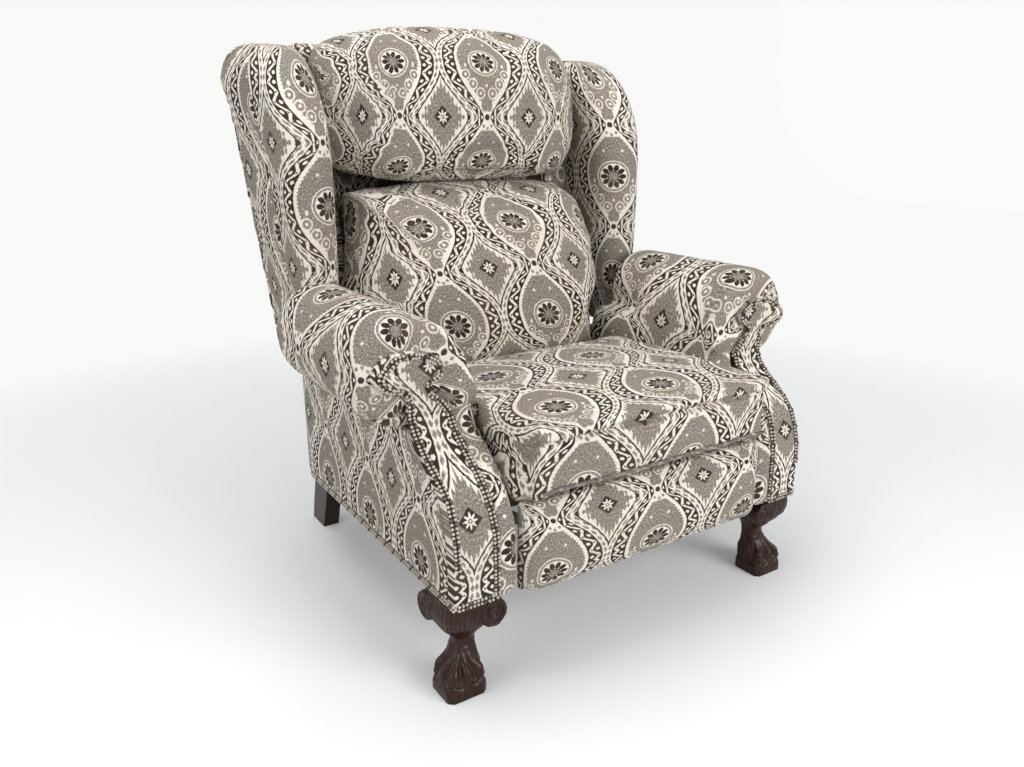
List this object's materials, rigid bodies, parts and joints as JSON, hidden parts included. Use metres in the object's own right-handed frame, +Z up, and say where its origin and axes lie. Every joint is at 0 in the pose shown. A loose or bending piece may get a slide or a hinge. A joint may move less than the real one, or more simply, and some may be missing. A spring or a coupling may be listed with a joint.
{
  "type": "wingback recliner",
  "caption": "High-leg wingback recliner with scroll-fronted rolled arms, carved cabriole front legs, loose back cushions and a linked fold-out footrest.",
  "frame": {"origin": "on the floor, on the middle plane, halfway along the closed chair's depth", "axes": "the chair faces -Y; +X is the sitter's left; +Z is up"},
  "size_m": [0.944, 0.8494, 1.0627],
  "materials": {
    "fabric": "woven ivory cloth with a dark brown and taupe trellis of medallions",
    "welt": "taupe braid with two rows of small beads",
    "walnut": "dark walnut, semi-gloss",
    "hardwood": "plain sawn hardwood, unfinished",
    "steel": "dark enamelled steel, satin"
  },
  "bodies": {
    "base": {"front_leg_left": "walnut", "front_leg_right": "walnut", "rear_leg_left": "walnut", "rear_leg_right": "walnut", "side_rail_left": "hardwood", "side_rail_right": "hardwood", "front_post_left": "hardwood", "front_post_right": "hardwood", "rear_post_left": "hardwood", "rear_post_right": "hardwood", "arm_rail_left": "hardwood", "arm_rail_right": "hardwood", "cross_rail": "hardwood", "base_rear_panel": "fabric", "inside_arm_left": "fabric", "inside_arm_right": "fabric", "arm_roll_left": "fabric", "arm_roll_right": "fabric", "outside_panel_left": "fabric", "outside_panel_right": "fabric", "arm_facing_left": "fabric", "arm_facing_right": "fabric", "arm_gimp_left": "welt", "arm_gimp_right": "welt", "base_plate_left": "steel", "base_plate_right": "steel"},
    "seat": {"seat_plate_left": "steel", "seat_plate_right": "steel", "seat_side_rail_left": "hardwood", "seat_side_rail_right": "hardwood", "seat_front_rail": "hardwood", "seat_rear_rail": "hardwood", "spring_1": "steel", "spring_2": "steel", "spring_3": "steel", "seat_cushion": "fabric"},
    "back": {"back_post_left": "hardwood", "back_post_right": "hardwood", "back_bottom_rail": "hardwood", "back_top_rail": "fabric", "wing_left": "fabric", "wing_right": "fabric", "outside_back": "fabric", "hinge_bracket_left": "steel", "hinge_bracket_right": "steel", "lumbar_cushion": "fabric", "head_pillow": "fabric"},
    "rear_links": {"rear_link_left": "steel", "rear_link_right": "steel"},
    "front_links": {"front_link_left": "steel", "front_link_right": "steel"},
    "long_links": {"long_link_left": "steel", "long_link_right": "steel", "torque_tube": "steel"},
    "tip_links": {"tip_link_left": "steel", "tip_link_right": "steel"},
    "footrest": {"footrest_bracket_left": "steel", "footrest_bracket_right": "steel", "footrest_board": "hardwood", "footrest_pad": "fabric"}
  },
  "joints": [
    {"name": "back_recline", "type": "hinge", "parent": "base", "child": "back", "pos_m": [0, 0.16226, 0.3], "axis": [-1, 0, 0], "range_deg": [0, 28]},
    {"name": "seat_glide", "type": "slide", "parent": "base", "child": "seat", "axis": [0, -1, 0], "range_m": [0, 0.04]},
    {"name": "rear_link_swing", "type": "hinge", "parent": "seat", "child": "rear_links", "pos_m": [0, -0.17604, 0.2944], "axis": [-1, 0, 0], "range_deg": [0, 104.13]},
    {"name": "front_link_swing", "type": "hinge", "parent": "seat", "child": "front_links", "pos_m": [0, -0.21904, 0.3045], "axis": [-1, 0, 0], "range_deg": [0, 106.14]},
    {"name": "long_link_swing", "type": "hinge", "parent": "front_links", "child": "long_links", "pos_m": [0, -0.00467, 0.20508], "axis": [1, 0, 0], "range_deg": [0, 85.91]},
    {"name": "tip_link_swing", "type": "hinge", "parent": "front_links", "child": "tip_links", "pos_m": [0, -0.01835, 0.25203], "axis": [1, 0, 0], "range_deg": [0, 86.46]},
    {"name": "footrest_swing", "type": "hinge", "parent": "long_links", "child": "footrest", "pos_m": [0, -0.3477, 0.25397], "axis": [-1, 0, 0], "range_deg": [0, 75.78]}
  ],
  "couplings": [
    {"joint": "seat_glide", "follows": "back_recline", "m_per_rad": 0.08185},
    {"joint": "rear_link_swing", "follows": "back_recline", "ratio": 3.7186},
    {"joint": "front_link_swing", "follows": "back_recline", "ratio": 3.7904},
    {"joint": "long_link_swing", "follows": "back_recline", "ratio": 3.0679},
    {"joint": "tip_link_swing", "follows": "back_recline", "ratio": 3.0875},
    {"joint": "footrest_swing", "follows": "back_recline", "ratio": 2.7061}
  ]
}
